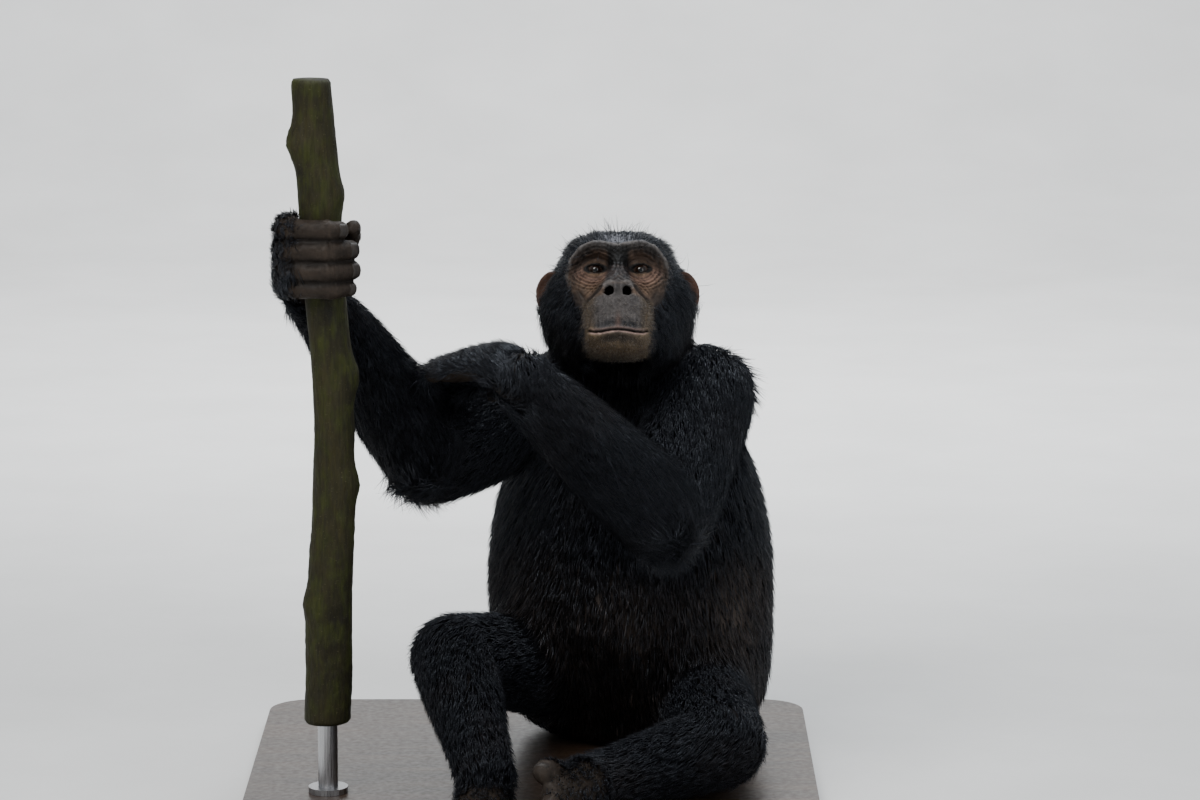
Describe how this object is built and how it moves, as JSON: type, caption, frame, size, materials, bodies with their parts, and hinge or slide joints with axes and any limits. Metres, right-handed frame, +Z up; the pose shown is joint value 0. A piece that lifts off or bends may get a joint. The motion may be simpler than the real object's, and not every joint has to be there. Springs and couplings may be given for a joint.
{
  "type": "life-size seated chimpanzee model",
  "caption": "Adult chimpanzee seated at rest, chin raised, one hand round an upright sapling stem and the other arm laid across it, on a flat display stand.",
  "frame": {"origin": "on the underside of the stand's base, under the middle of the animal's seat", "axes": "+Z up; the animal faces -Y and a little towards -X, so its left side is mostly towards +X; the stem it holds stands upright at -X"},
  "size_m": [0.75, 0.925, 0.959],
  "materials": {
    "coat": "long black hair with a cool sheen, thinner and browner on the belly and flank",
    "bare_skin": "bare wrinkled skin, brown and grey, satin",
    "ear_skin": "thin bare skin, pinkish brown, satin",
    "eye": "dark brown eye, wet gloss",
    "bark": "thin olive green bark with pale lichen and small cracks",
    "stand_board": "dark stained board, satin varnish",
    "rod_steel": "brushed steel"
  },
  "bodies": {
    "root": {"head": "bare_skin", "eye_l": "eye", "eye_r": "eye", "ear_l": "ear_skin", "ear_r": "ear_skin", "neck": "coat", "torso": "coat", "upper_arm_l": "coat", "forearm_l": "coat", "hand_l": "bare_skin", "upper_arm_r": "coat", "forearm_r": "coat", "hand_r": "bare_skin", "thigh_l": "coat", "shin_l": "coat", "foot_l": "bare_skin", "thigh_r": "coat", "shin_r": "coat", "foot_r": "bare_skin", "perch_stem": "bark", "stand_rod": "rod_steel", "stand_base": "stand_board"}
  },
  "joints": []
}
